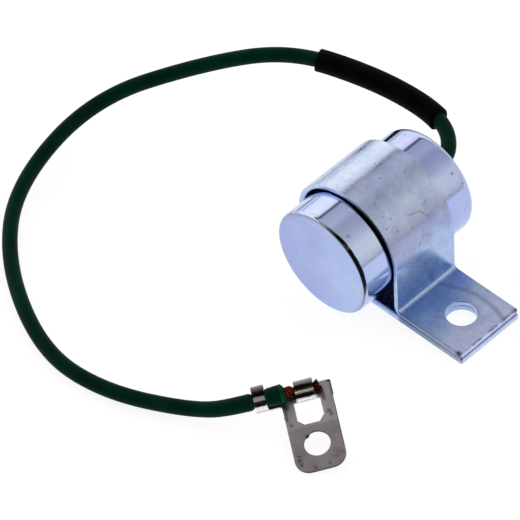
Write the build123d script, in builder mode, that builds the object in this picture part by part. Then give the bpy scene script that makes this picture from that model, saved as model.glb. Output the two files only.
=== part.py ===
# Ignition condenser: a sealed can in a folded strap, with a sleeved lead and a crimped flag terminal.
# Millimetres. The origin is the centre of the mounting hole on the underside of the tab, +Z up,
# and the can lies along Y with its closed end at -Y.
import os
from math import radians, sqrt, tan
from build123d import *

os.makedirs("parts", exist_ok=True)

# Can
can_d = 18.0
can_length = 24.2
can_wall = 0.5
closed_end_y = -12.0
closed_edge_r = 0.6
shoulder_r = 1.7
rim_w = 3.4

# Strap
strap_t = 0.9
strap_w = 12.5
can_clearance = 0.05
leaf_gap = 0.06
foot_r = 0.5
hole_d = 4.8
hole_edge_r = 0.12
hole_to_can = 17.1
hole_to_end = 5.6
lower_leaf_extra = 0.2
tab_corner_r = 0.35

# Spring washer at the closed end
spring_t = 0.3
spring_height = 1.2
spring_bore_r = 3.0
spring_flat = 0.6
spring_inset = 0.9

# Roll, wrap and contact disc
roll_bore_d = 2.0
wrap_wall = 0.4
wrap_to_can = 0.25
wrap_to_roll = 0.05
disc_d = 11.0
disc_t = 0.5
solder_d = 3.6
solder_height = 0.7
solder_fit = 0.01
solder_neck = 0.35
solder_room = 0.5

# Washer and seal at the open end
washer_t = 0.8
washer_bore_clearance = 0.1
seal_t = 1.7
seal_clearance = 0.05
seal_bore_clearance = 0.03
collar_wall = 1.07
collar_height = 1.2
collar_edge = 0.35

# Lead
lead_d = 2.4
conductor_d = 1.4
conductor_clearance = 0.03
bare_end = 0.1
exit_run = 3.2
sleeve_wall = 0.55
sleeve_clearance = 0.05
sleeve_start = 15.5
sleeve_length = 22.0

# Terminal, drawn flat in its own plane with its hole at the centre and its crimps along local X
flag_t = 0.5
flag_w = 7.7
flag_low = 4.27
flag_high = 9.58
flag_corner_r = 2.2
flag_hole_d = 3.95
window_w = 3.95
window_low = 3.37
window_cut = 0.88
neck_low = 7.05
neck_left = 7.65
crimp_height = 8.5
ear_extra = 0.15
ear_low = 7.0
grip_clearance = 0.08
grip_floor = 0.06
grip_length = 1.9
grip_seam = 0.25
grip_seam_turn = 24.0
barrel_start = -1.45
barrel_length = 2.85
barrel_floor = 0.06
barrel_clearance = 0.02
lobe_r = 0.75
lobe_side = 0.6
valley_wall = 0.07
insulation_end = 3.15
conductor_tip = 2.6
step_start = 2.65
step_end = 2.0
step_r = 0.9

# How the terminal lies: turned about Z, rolled about its crimps, and tipped up towards its right edge
flag_x = 1.62
flag_y = -32.66
flag_z = 1.5
flag_turn = 55.7
flag_roll = 15.0
flag_tip = 10.0

# Radii that follow from the sizes above
can_r = can_d / 2
bore_r = can_r - can_wall
mouth_r = can_r - rim_w
lip_r = 0.7 * can_wall
wrap_bend_r = can_r + can_clearance
wrap_r = bore_r - wrap_to_can
wrap_bore_r = wrap_r - wrap_wall
roll_r = wrap_bore_r - wrap_to_roll
seal_r = bore_r - seal_clearance
lead_r = lead_d / 2
conductor_r = conductor_d / 2
seal_bore_r = lead_r + seal_bore_clearance
collar_r = seal_bore_r + collar_wall
sleeve_bore_r = lead_r + sleeve_clearance
grip_bore_r = lead_r + grip_clearance
barrel_bore_r = conductor_r + barrel_clearance

# The strap about the can
can_x = -hole_to_can
can_z = strap_t + wrap_bend_r
tab_top = 2 * strap_t + leaf_gap
wall_x = can_x + wrap_bend_r + strap_t
lower_leaf_end = hole_to_end + lower_leaf_extra

# Along the can, first from its closed end and then back from its rolled rim
spring_y = closed_end_y + can_wall
roll_y = spring_y + spring_height
open_end_y = closed_end_y + can_length
lip_y = open_end_y - can_wall
seal_y = lip_y - seal_t
washer_y = seal_y - washer_t
solder_top_y = washer_y - solder_room
solder_y = solder_top_y - solder_height
disc_y = solder_y - disc_t

# Heights above the underside of the flag
grip_centre = flag_t + grip_floor + grip_bore_r
barrel_centre = flag_t + barrel_floor + conductor_r
lobe_height = barrel_centre + barrel_bore_r + valley_wall - sqrt(lobe_r**2 - lobe_side**2)

can_axis = Axis((can_x, 0, can_z), (0, 1, 0))
# Local X runs along the can and local Y is the radius
can_plane = Plane(origin=(can_x, 0, can_z), x_dir=(0, 1, 0), z_dir=(1, 0, 0))
flag_plane = Plane(Pos(flag_x, flag_y, flag_z) * Rot(Z=flag_turn) * Rot(X=flag_roll) * Rot(Y=-flag_tip))


# A plane across the can that looks along +Y
def across(y):
    return Plane(origin=(can_x, y, can_z), x_dir=(1, 0, 0), z_dir=(0, 1, 0))


# A plane across the crimps, with its local X up the flag and its local Y off the metal
def across_crimp(p):
    return Plane(origin=on_flag(p, crimp_height, 0), x_dir=flag_plane.y_dir, z_dir=flag_plane.x_dir)


# A point given along the crimps, up the flag and above its underside
def on_flag(p, h, n):
    return flag_plane.from_local_coords(Vector(p, h, n))


# The sketch corner that is nearest to a point
def near(sketch, u, v):
    return sketch.vertices().sort_by_distance((u, v, 0))[0]


# As large an arc at each corner as its two runs allow
def bend_radii(points):
    radii = []
    for before, corner, after in zip(points, points[1:], points[2:]):
        run_in = corner - before
        run_out = after - corner
        turn = run_in.get_angle(run_out)
        radii.append(0.45 * min(run_in.length, run_out.length) / tan(radians(turn / 2)))
    return radii


# Can: a drawn shell, closed and flat at one end, its wall rolled over the seal at the other
with BuildPart() as can:
    with BuildSketch(can_plane) as shell:
        with BuildLine():
            Polyline(
                (closed_end_y, 0),
                (closed_end_y, can_r),
                (open_end_y, can_r),
                (open_end_y, mouth_r),
                (lip_y, mouth_r),
                (lip_y, bore_r),
                (spring_y, bore_r),
                (spring_y, 0),
                close=True,
            )
        make_face()
        fillet(near(shell, closed_end_y, can_r), closed_edge_r)
        fillet(near(shell, open_end_y, can_r), shoulder_r)
        fillet(near(shell, lip_y, bore_r), shoulder_r - can_wall)
        fillet(near(shell, open_end_y, mouth_r), lip_r)
    revolve(axis=can_axis)

# Strap: one strip bent round the can, its two ends laid together as a tab
with BuildPart() as strap:
    with BuildSketch(Plane.XZ):
        with BuildLine():
            foot = (wall_x + foot_r, tab_top + foot_r)
            Line((lower_leaf_end, 0), (can_x, 0))
            CenterArc((can_x, can_z), wrap_bend_r + strap_t, 0, 270)
            Line((wall_x, can_z), (wall_x, foot[1]))
            CenterArc(foot, foot_r, 180, 90)
            Line((foot[0], tab_top), (hole_to_end, tab_top))
            Line((hole_to_end, tab_top), (hole_to_end, tab_top - strap_t))
            Line((hole_to_end, tab_top - strap_t), (foot[0], tab_top - strap_t))
            CenterArc(foot, foot_r + strap_t, 180, 90)
            Line((wall_x - strap_t, foot[1]), (wall_x - strap_t, can_z))
            CenterArc((can_x, can_z), wrap_bend_r, 0, 270)
            Line((can_x, strap_t), (lower_leaf_end, strap_t))
            Line((lower_leaf_end, strap_t), (lower_leaf_end, 0))
        make_face()
    extrude(amount=strap_w / 2, both=True)
    fillet(strap.edges().filter_by(Axis.Z).sort_by(Axis.X)[-4:], tab_corner_r)
    with BuildSketch():
        Circle(hole_d / 2)
    extrude(amount=tab_top, mode=Mode.SUBTRACT)
    fillet(strap.edges().filter_by(GeomType.CIRCLE).sort_by_distance((0, 0, tab_top))[0], hole_edge_r)

# Spring washer: a shallow cone between the closed end and the roll
with BuildPart() as spring:
    with BuildSketch(can_plane):
        with BuildLine():
            outer_r = bore_r - spring_inset
            Polyline(
                (spring_y, outer_r),
                (spring_y, outer_r - spring_flat),
                (roll_y - spring_t, spring_bore_r),
                (roll_y, spring_bore_r),
                (roll_y, spring_bore_r + spring_flat),
                (spring_y + spring_t, outer_r),
                close=True,
            )
        make_face()
    revolve(axis=can_axis)

# Roll: wound foil and paper, one solid about a small bore
with BuildPart() as roll:
    with BuildSketch(across(roll_y)):
        Circle(roll_r)
        Circle(roll_bore_d / 2, mode=Mode.SUBTRACT)
    extrude(amount=disc_y - roll_y)

# Paper wrap: keeps the roll off the can and carries the washer
with BuildPart() as wrap:
    with BuildSketch(across(roll_y)):
        Circle(wrap_r)
        Circle(wrap_bore_r, mode=Mode.SUBTRACT)
    extrude(amount=washer_y - roll_y)

# Contact disc: brass, on the live end of the roll
with BuildPart() as disc:
    with BuildSketch(across(disc_y)):
        Circle(disc_d / 2)
    extrude(amount=disc_t)

# Solder: a low cone that holds the bare end of the lead on the disc
with BuildPart() as solder:
    with BuildSketch(can_plane):
        with BuildLine():
            Polyline(
                (solder_y, conductor_r + solder_fit),
                (solder_y, solder_d / 2),
                (solder_top_y, conductor_r + solder_neck),
                (solder_top_y, conductor_r + solder_fit),
                close=True,
            )
        make_face()
    revolve(axis=can_axis)

# Hard paper washer: rests on the wrap and backs the seal
with BuildPart() as washer:
    with BuildSketch(across(washer_y)):
        Circle(wrap_r)
        Circle(lead_r + washer_bore_clearance, mode=Mode.SUBTRACT)
    extrude(amount=washer_t)

# Rubber seal: fills the rolled end, with a short collar about the lead
with BuildPart() as seal:
    with BuildSketch(can_plane) as plug:
        with BuildLine():
            Polyline(
                (seal_y, seal_bore_r),
                (seal_y, seal_r),
                (lip_y, seal_r),
                (lip_y, collar_r),
                (lip_y + collar_height, collar_r),
                (lip_y + collar_height, seal_bore_r),
                close=True,
            )
        make_face()
        fillet(near(plug, lip_y, seal_r), shoulder_r - can_wall)
        chamfer(near(plug, lip_y + collar_height, collar_r), collar_edge)
    revolve(axis=can_axis)

# Route of the lead: out of the seal and round to the left, level through its sleeve, then down to the
# table and back to the terminal
lead_points = [
    Vector(can_x, solder_top_y + bare_end, can_z),
    Vector(can_x, open_end_y + exit_run, can_z),
    Vector(-21.4, 20.6, 10.0),
    Vector(-27.6, 21.6, 10.5),
    Vector(-37.7, 19.9, 11.2),
    Vector(-50.3, 15.7, 11.2),
    Vector(-60.0, 6.3, 8.7),
    Vector(-70.2, -7.5, 4.5),
    Vector(-68.1, -26.2, 1.6),
    Vector(-57.8, -38.3, lead_r),
    Vector(-41.6, -46.9, lead_r),
    Vector(-28.9, -46.5, 1.3),
    Vector(-16.4, -40.0, 2.0),
    on_flag(-9.9, crimp_height, grip_centre),
    on_flag(-insulation_end, crimp_height, grip_centre),
]
lead_radii = bend_radii(lead_points)

with BuildLine() as lead_route:
    FilletPolyline(lead_points, radius=lead_radii)
lead_length = lead_route.wire().length

# Insulation: a soft tube from inside the seal to the terminal
with BuildPart() as insulation:
    with BuildLine():
        add(lead_route.wire())
    with BuildSketch(lead_route.wire() ^ 0):
        Circle(lead_r)
        Circle(conductor_r + conductor_clearance, mode=Mode.SUBTRACT)
    sweep()

# Conductor: the same route, bare at both ends, stepping down into the barrel of the terminal
core_points = [Vector(can_x, solder_y, can_z)]
core_points += lead_points[1:-1]
core_points += [
    on_flag(-step_start, crimp_height, grip_centre),
    on_flag(-step_end, crimp_height, barrel_centre),
    on_flag(conductor_tip, crimp_height, barrel_centre),
]
with BuildLine() as core_route:
    FilletPolyline(core_points, radius=lead_radii + [step_r, step_r])
with BuildPart() as conductor:
    with BuildLine():
        add(core_route.wire())
    with BuildSketch(core_route.wire() ^ 0):
        Circle(conductor_r)
    sweep()

# Sleeve: a loose tube pushed over the lead near the can
sleeve_wire = lead_route.wire().trim(sleeve_start / lead_length, (sleeve_start + sleeve_length) / lead_length)
with BuildPart() as sleeve:
    with BuildLine():
        add(sleeve_wire)
    with BuildSketch(sleeve_wire ^ 0):
        Circle(sleeve_bore_r + sleeve_wall)
        Circle(sleeve_bore_r, mode=Mode.SUBTRACT)
    sweep()

# Terminal: a flat flag with a window, a neck, a grip on the insulation and a barrel on the bare strands
with BuildPart() as terminal:
    with BuildSketch(flag_plane) as flag:
        with Locations((0, (flag_high - flag_low) / 2)):
            Rectangle(flag_w, flag_high + flag_low)
        fillet(flag.vertices().group_by(Axis.Y)[0], flag_corner_r)
        with Locations((flag_w / 2, (flag_high + ear_low) / 2)):
            Rectangle(2 * ear_extra, flag_high - ear_low)
        with Locations((-neck_left / 2, (flag_high + neck_low) / 2)):
            Rectangle(neck_left, flag_high - neck_low)
        Circle(flag_hole_d / 2, mode=Mode.SUBTRACT)
        with BuildLine():
            side = window_w / 2
            Polyline(
                (-side, neck_low),
                (-side, window_low + window_cut),
                (-side + window_cut, window_low),
                (side - window_cut, window_low),
                (side, window_low + window_cut),
                (side, neck_low),
                close=True,
            )
        make_face(mode=Mode.SUBTRACT)
    extrude(amount=flag_t)
    # Grip: a split ring whose ends meet off the top
    with BuildSketch(across_crimp(-neck_left)):
        with Locations((0, grip_centre)):
            Circle(grip_bore_r + flag_t)
            Circle(grip_bore_r, mode=Mode.SUBTRACT)
            with Locations(Rot(Z=grip_seam_turn)):
                with Locations((0, grip_bore_r + flag_t / 2)):
                    Rectangle(grip_seam, 2 * flag_t, mode=Mode.SUBTRACT)
    extrude(amount=grip_length)
    # Barrel: two wings rolled in side by side on the strands
    with BuildSketch(across_crimp(barrel_start)):
        with Locations((-lobe_side, lobe_height), (lobe_side, lobe_height)):
            Circle(lobe_r)
        with Locations((0, lobe_height / 2)):
            Rectangle(2 * (lobe_side + lobe_r), lobe_height)
    extrude(amount=barrel_length)
    with BuildSketch(across_crimp(barrel_start)):
        with Locations((0, barrel_centre)):
            Circle(barrel_bore_r)
    extrude(amount=barrel_length, mode=Mode.SUBTRACT)

pieces = {
    "condenser_can": can,
    "mounting_strap": strap,
    "contact_spring": spring,
    "capacitor_roll": roll,
    "insulating_wrap": wrap,
    "contact_disc": disc,
    "solder_joint": solder,
    "insulating_washer": washer,
    "rubber_seal": seal,
    "lead_conductor": conductor,
    "lead_insulation": insulation,
    "lead_sleeve": sleeve,
    "terminal": terminal,
}
for name, piece in pieces.items():
    piece.part.label = name
    export_step(piece.part, f"parts/{name}.step")

print("lead length", round(lead_length, 1), "radii", [round(radius, 1) for radius in lead_radii])
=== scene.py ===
# Ignition condenser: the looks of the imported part, in metres, in the part's own frame.
import math
import random
import bmesh
import bpy
from mathutils import Matrix, Vector


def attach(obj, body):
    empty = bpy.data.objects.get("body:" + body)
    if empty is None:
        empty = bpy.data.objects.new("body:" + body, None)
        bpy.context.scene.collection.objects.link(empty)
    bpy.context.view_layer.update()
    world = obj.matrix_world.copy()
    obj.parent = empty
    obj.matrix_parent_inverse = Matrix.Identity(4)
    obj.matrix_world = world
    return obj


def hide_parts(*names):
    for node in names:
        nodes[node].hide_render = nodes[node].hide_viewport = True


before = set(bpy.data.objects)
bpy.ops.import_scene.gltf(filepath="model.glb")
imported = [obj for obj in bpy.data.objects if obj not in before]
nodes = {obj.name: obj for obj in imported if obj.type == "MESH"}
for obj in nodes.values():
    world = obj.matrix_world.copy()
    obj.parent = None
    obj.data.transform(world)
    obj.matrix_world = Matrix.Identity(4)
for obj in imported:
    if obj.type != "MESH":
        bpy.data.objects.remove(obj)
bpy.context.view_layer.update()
mm = 0.001
degree = math.pi / 180


# Puts a mesh, a curve or a camera into the scene
def addObject(name, data):
    made = bpy.data.objects.new(name, data)
    bpy.context.scene.collection.objects.link(made)
    return made


print("stage: camera")
# The camera looks down on the closed end of the can from the right
view = {
    "azimuth": 46.311,      # degrees, which way the camera stands from the part
    "elevation": 47.717,
    "roll": -3.008,
    "distance": 909.861,    # mm from the middle of the end disc
    "aim": (-17.1, -12.0, 10.0),
    "shiftRight": -9.044,   # mm sideways and up, so that the part sits in the frame as it should
    "shiftUp": 0.53,
    "pixelsPerMm": 6.758,
    "frameWidth": 520,
    "sensorWidth": 36.0,
    "clip": (0.05, 20.0),   # m, the nearest and the farthest that it sees
}


def makeCamera(v):
    a, e, t = (v[k] * degree for k in ("azimuth", "elevation", "roll"))
    back = Vector((math.sin(a) * math.cos(e), -math.cos(a) * math.cos(e), math.sin(e)))
    flatRight = Vector((math.cos(a), math.sin(a), 0.0))
    flatUp = back.cross(flatRight)
    right = flatRight * math.cos(t) + flatUp * math.sin(t)
    up = flatUp * math.cos(t) - flatRight * math.sin(t)
    stand = Vector(v["aim"]) + right * v["shiftRight"] + up * v["shiftUp"] + back * v["distance"]
    data = bpy.data.cameras.new("photoCamera")
    data.sensor_width = v["sensorWidth"]
    data.lens = v["sensorWidth"] * v["distance"] * v["pixelsPerMm"] / v["frameWidth"]
    data.clip_start, data.clip_end = v["clip"]
    camera = addObject("photoCamera", data)
    turn = Matrix((right, up, back)).transposed().to_4x4()
    camera.matrix_world = Matrix.Translation(stand * mm) @ turn
    bpy.context.scene.camera = camera


makeCamera(view)

print("stage: lead route")
# The route of the lead, in mm, from the solder in the can round to the barrel of the terminal
lead = {
    "points": [
        (-17.1, 8.8, 9.95), (-17.1, 15.4, 9.95), (-21.4, 20.6, 10.0), (-27.6, 21.6, 10.5),
        (-37.7, 19.9, 11.2), (-50.3, 15.7, 11.2), (-60.0, 6.3, 8.7), (-70.2, -7.5, 4.5),
        (-68.1, -26.2, 1.6), (-57.8, -38.3, 1.2), (-41.6, -46.9, 1.2), (-28.9, -46.5, 1.3),
        (-15.84, -40.38, 1.82), (-10.577, -36.528, 3.712), (-6.82, -31.044, 4.922),
    ],
    "radius": 1.2,
    "coreRadius": 0.7,
    "coreStart": (-17.1, 8.0, 9.95),
    "exit": (-17.1, 12.9, 9.95),
    "length": 165.1,
    "around": 32,
}


# The points and faces that a curve gives, after which the curve itself goes
def meshOfCurve(data):
    holder = addObject(data.name, data)
    bpy.context.view_layer.update()
    mesh = bpy.data.meshes.new_from_object(holder)
    points = [vertex.co.copy() for vertex in mesh.vertices]
    faces = [tuple(face.vertices) for face in mesh.polygons]
    bpy.data.meshes.remove(mesh)
    bpy.data.objects.remove(holder)
    bpy.data.curves.remove(data)
    return points, faces


def makeRoute(points):
    data = bpy.data.curves.new("leadRoute", "CURVE")
    data.dimensions = "3D"
    spline = data.splines.new("NURBS")
    spline.points.add(len(points) - 1)
    for slot, point in zip(spline.points, points):
        slot.co = (point[0] * mm, point[1] * mm, point[2] * mm, 1.0)
    spline.order_u = 3
    spline.use_endpoint_u = True
    spline.resolution_u = 24
    return meshOfCurve(data)[0]


# Its length at each point, its direction, and a direction across it that never twists
def framesOf(line):
    lengths = [0.0]
    for a, b in zip(line, line[1:]):
        lengths.append(lengths[-1] + (b - a).length)
    tangents = []
    for i in range(len(line)):
        tangents.append((line[min(i + 1, len(line) - 1)] - line[max(i - 1, 0)]).normalized())
    side = Vector((0.0, 0.0, 1.0)).cross(tangents[0]).normalized()
    sides = []
    for tangent in tangents:
        side = (side - tangent * side.dot(tangent)).normalized()
        sides.append(side)
    return lengths, tangents, sides


leadLine = makeRoute(lead["points"])
leadLengths, leadTangents, leadSides = framesOf(leadLine)
leadTotal = leadLengths[-1]
print("lead length mm", round(leadTotal / mm, 2))


# The centre of the lead at a length along it, and the two directions across it
def alongLead(s):
    s = min(max(s, 0.0), leadTotal)
    i = 0
    while i < len(leadLengths) - 2 and leadLengths[i + 1] < s:
        i += 1
    t = (s - leadLengths[i]) / (leadLengths[i + 1] - leadLengths[i])
    tangent = leadTangents[i].lerp(leadTangents[i + 1], t).normalized()
    side = leadSides[i].lerp(leadSides[i + 1], t)
    side = (side - tangent * side.dot(tangent)).normalized()
    return leadLine[i].lerp(leadLine[i + 1], t), tangent, side, tangent.cross(side)


print("stage: mesh helpers")


def meshPiece(name, shells, material, replaced, sharp=None):
    verts, faces = [], []
    for shellVerts, shellFaces in shells:
        start = len(verts)
        verts += [tuple(v) for v in shellVerts]
        faces += [tuple(i + start for i in face) for face in shellFaces]
    data = bpy.data.meshes.new(name)
    data.from_pydata(verts, [], faces)
    data.validate()
    work = bmesh.new()
    work.from_mesh(data)
    bmesh.ops.recalc_face_normals(work, faces=work.faces[:])
    work.to_mesh(data)
    work.free()
    data.polygons.foreach_set("use_smooth", [True] * len(data.polygons))
    if sharp:
        data.set_sharp_from_angle(angle=sharp * degree)
    data.materials.append(material)
    made = addObject(name, data)
    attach(made, "root")
    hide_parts(*replaced)
    return made


# Quads between rings of points, all rings with the same number of points
def ringFaces(count, around, closed=False):
    faces = []
    for r in range(count if closed else count - 1):
        n = (r + 1) % count
        for k in range(around):
            m = (k + 1) % around
            faces.append((r * around + k, r * around + m, n * around + m, n * around + k))
    return faces


# The same with a face over each end
def cappedRings(count, around):
    ends = [tuple(range(around)), tuple(range((count - 1) * around, count * around))]
    return ringFaces(count, around) + ends


# Rings swept along the lead, each row (length along in m, radius in m), the profile closed on itself
def sweepRings(rows, around, shape=None):
    verts = []
    for s, radius in rows:
        centre, tangent, side, other = alongLead(s)
        for k in range(around):
            angle = 2 * math.pi * k / around
            across = side * math.cos(angle) + other * math.sin(angle)
            if shape:
                verts.append(shape(s, radius, centre, tangent, across))
            else:
                verts.append(centre + across * radius)
    return verts, ringFaces(len(rows), around, closed=True)


# A round tube through points, with closed ends
def roundTube(points, radii, around):
    verts = []
    side = None
    for i, point in enumerate(points):
        tangent = (points[min(i + 1, len(points) - 1)] - points[max(i - 1, 0)]).normalized()
        if side is None:
            side = tangent.orthogonal().normalized()
        side = (side - tangent * side.dot(tangent)).normalized()
        other = tangent.cross(side)
        for k in range(around):
            angle = 2 * math.pi * k / around
            verts.append(point + (side * math.cos(angle) + other * math.sin(angle)) * radii[i])
    return verts, cappedRings(len(points), around)


def arcPoints(centre, radius, start, end, steps, skipFirst=False, skipLast=False):
    found = []
    for i in range(steps + 1):
        if (skipFirst and i == 0) or (skipLast and i == steps):
            continue
        angle = (start + (end - start) * i / steps) * degree
        found.append((centre[0] + radius * math.cos(angle), centre[1] + radius * math.sin(angle)))
    return found


print("stage: node helpers")


def newMaterial(name):
    material = bpy.data.materials.new(name)
    material.use_nodes = True
    return material, material.node_tree, material.node_tree.nodes["Principled BSDF"]


# Links a node's output to a socket, or sets the socket to a plain value
def feed(tree, socket, value):
    if isinstance(value, bpy.types.NodeSocket):
        tree.links.new(value, socket)
    else:
        socket.default_value = value


def addNode(tree, kind, inputs=None, **settings):
    made = tree.nodes.new(kind)
    for key, value in settings.items():
        setattr(made, key, value)
    for key, value in (inputs or {}).items():
        feed(tree, made.inputs[key], value)
    return made


def wire(tree, shader, **given):
    sockets = {"color": "Base Color", "rough": "Roughness", "metal": "Metallic",
               "specular": "Specular IOR Level", "normal": "Normal"}
    for key, value in given.items():
        feed(tree, shader.inputs[sockets[key]], value)


def maths(tree, operation, a, b=0.0, clamp=False):
    return addNode(tree, "ShaderNodeMath", {0: a, 1: b}, operation=operation, use_clamp=clamp).outputs[0]


def plus(tree, a, b):
    return maths(tree, "ADD", a, b)


def minus(tree, a, b):
    return maths(tree, "SUBTRACT", a, b)


def times(tree, first, *others):
    for other in others:
        first = maths(tree, "MULTIPLY", first, other)
    return first


def anyOf(tree, first, *others):
    for other in others:
        first = maths(tree, "MAXIMUM", first, other)
    return first


def mapRange(tree, value, low, high, toLow=0.0, toHigh=1.0):
    inputs = {"Value": value, "From Min": low, "From Max": high, "To Min": toLow, "To Max": toHigh}
    return addNode(tree, "ShaderNodeMapRange", inputs).outputs[0]


# A noise spread from low to high, as most of it lies between 0.3 and 0.7
def spread(tree, source, low=0.0, high=1.0):
    return mapRange(tree, source, 0.3, 0.7, low, high)


# A noise spread evenly about nothing, to move an edge by up to reach
def waver(tree, source, reach):
    return spread(tree, source, -reach, reach)


# 1 between low and high, given in mm, and 0 outside
def within(tree, value, low, high, soft):
    rise = mapRange(tree, value, (low - soft) * mm, (low + soft) * mm)
    return times(tree, rise, mapRange(tree, value, (high + soft) * mm, (high - soft) * mm))


def mixColor(tree, share, a, b, blend="MIX"):
    made = addNode(tree, "ShaderNodeMix", {0: share}, data_type="RGBA", blend_type=blend)
    for key, value in ((6, a), (7, b)):
        feed(tree, made.inputs[key], (*value, 1.0) if isinstance(value, tuple) else value)
    return made.outputs[2]


# Lays a colour over the tone where the mask says, as strongly as strength
def paint(tree, tone, mask, color, strength=1.0):
    return mixColor(tree, mask if strength == 1.0 else times(tree, mask, strength), tone, color)


def tinted(tree, tone, tint):
    return mixColor(tree, 1.0, tone, tint, "MULTIPLY")


def noise(tree, vector, scale, detail=3.0, rough=0.55):
    inputs = {"Vector": vector, "Scale": scale, "Detail": detail, "Roughness": rough}
    return addNode(tree, "ShaderNodeTexNoise", inputs).outputs[0]


def stretched(tree, vector, scale=(1.0, 1.0, 1.0), move=(0.0, 0.0, 0.0), turn=(0.0, 0.0, 0.0)):
    inputs = {"Vector": vector, "Location": move, "Rotation": turn, "Scale": scale}
    return addNode(tree, "ShaderNodeMapping", inputs).outputs[0]


def place(tree):
    return addNode(tree, "ShaderNodeTexCoord").outputs["Object"]


def parts(tree, vector):
    return addNode(tree, "ShaderNodeSeparateXYZ", {0: vector}).outputs


def vectorMath(tree, operation, a, b, out=0):
    return addNode(tree, "ShaderNodeVectorMath", {0: a, 1: b}, operation=operation).outputs[out]


def scaled(tree, vector, scale):
    made = addNode(tree, "ShaderNodeVectorMath", {0: vector, "Scale": scale}, operation="SCALE")
    return made.outputs[0]


# Layers of relief, the lowest first, each (height, strength, distance in m)
def relief(tree, *layers):
    made = None
    for height, strength, distance in layers:
        inputs = {"Strength": strength, "Distance": distance, "Height": height}
        if made:
            inputs["Normal"] = made.outputs[0]
        made = addNode(tree, "ShaderNodeBump", inputs)
    return made.outputs[0]


# Small round pits: the middles of some cells only
def pits(tree, vector, scale, size, share):
    cells = addNode(tree, "ShaderNodeTexVoronoi", {"Vector": vector, "Scale": scale, "Randomness": 1.0})
    near = mapRange(tree, cells.outputs["Distance"], size * 0.4, size, 1.0, 0.0)
    picked = mapRange(tree, parts(tree, cells.outputs["Color"])[0], 1.0 - share, 1.0 - share + 0.02)
    return times(tree, near, picked)


# Thin hairlines that follow one direction, broken up by a larger noise
def hairlines(tree, vector, scale, turn, keep, breakScale):
    lines = noise(tree, stretched(tree, vector, scale, turn=turn), 1.0, 2.0, 0.6)
    patches = noise(tree, vector, breakScale, 2.0, 0.5)
    return times(tree, mapRange(tree, lines, keep, keep + 0.05), mapRange(tree, patches, 0.48, 0.6))


# A short scratch between two points of the surface, given in mm, fading at its sides
def scratchMark(tree, vector, a, b, width):
    start, span = Vector(a) * mm, (Vector(b) - Vector(a)) * mm
    away = vectorMath(tree, "SUBTRACT", vector, tuple(start))
    share = vectorMath(tree, "DOT_PRODUCT", away, tuple(span / span.length_squared), out=1)
    share = maths(tree, "MAXIMUM", maths(tree, "MINIMUM", share, 1.0), 0.0)
    gap = vectorMath(tree, "SUBTRACT", away, scaled(tree, tuple(span), share))
    gap = addNode(tree, "ShaderNodeVectorMath", {0: gap}, operation="LENGTH").outputs[1]
    return mapRange(tree, gap, width * 0.25 * mm, width * mm, 1.0, 0.0)


def scratchMarks(tree, vector, scratches):
    return anyOf(tree, *[scratchMark(tree, vector, a, b, width) for a, b, width in scratches])


# The same place moved about a little, so that a mark isn't straight
def shaken(tree, vector, reach):
    inputs = {"Vector": vector, "Scale": 900.0, "Detail": 2.0}
    dust = addNode(tree, "ShaderNodeTexNoise", inputs).outputs["Color"]
    offset = vectorMath(tree, "SUBTRACT", dust, (0.5, 0.5, 0.5))
    return vectorMath(tree, "ADD", vector, scaled(tree, offset, 2 * reach * mm))


# A soft round spot on the surface, its edge made uneven by noise
def spotMark(tree, vector, centre, radius, uneven=0.5):
    gap = vectorMath(tree, "DISTANCE", vector, tuple(Vector(centre) * mm), out=1)
    gap = plus(tree, gap, waver(tree, noise(tree, vector, 1500.0, 3.0), uneven * radius * mm))
    return mapRange(tree, gap, radius * 0.2 * mm, radius * 1.1 * mm, 1.0, 0.0)


def spotMarks(tree, vector, spots, uneven=0.5):
    return anyOf(tree, *[spotMark(tree, vector, centre, radius, uneven) for centre, radius in spots])


# A colour that changes along a value, from a list of (value, colour) stops counted in unit from start
def tintRamp(tree, value, stops, unit, start=0.0):
    low, high = stops[0][0], stops[-1][0]
    share = mapRange(tree, value, (low + start) * unit, (high + start) * unit)
    ramp = addNode(tree, "ShaderNodeValToRGB", {0: share})
    for i, (at, color) in enumerate(stops):
        position = (at - low) / (high - low)
        stop = ramp.color_ramp.elements.new(position) if i > 1 else ramp.color_ramp.elements[i]
        stop.position = position
        stop.color = (*color, 1.0)
    return ramp.outputs[0]


# How far right of an axis along Y a place is, the angle about the axis, and the radius
def aboutAxis(tree, x, z, axis):
    dx = minus(tree, x, axis[0] * mm)
    dz = minus(tree, z, axis[1] * mm)
    angle = maths(tree, "ARCTAN2", dz, dx)
    return dx, angle, maths(tree, "SQRT", plus(tree, times(tree, dx, dx), times(tree, dz, dz)))


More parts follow.
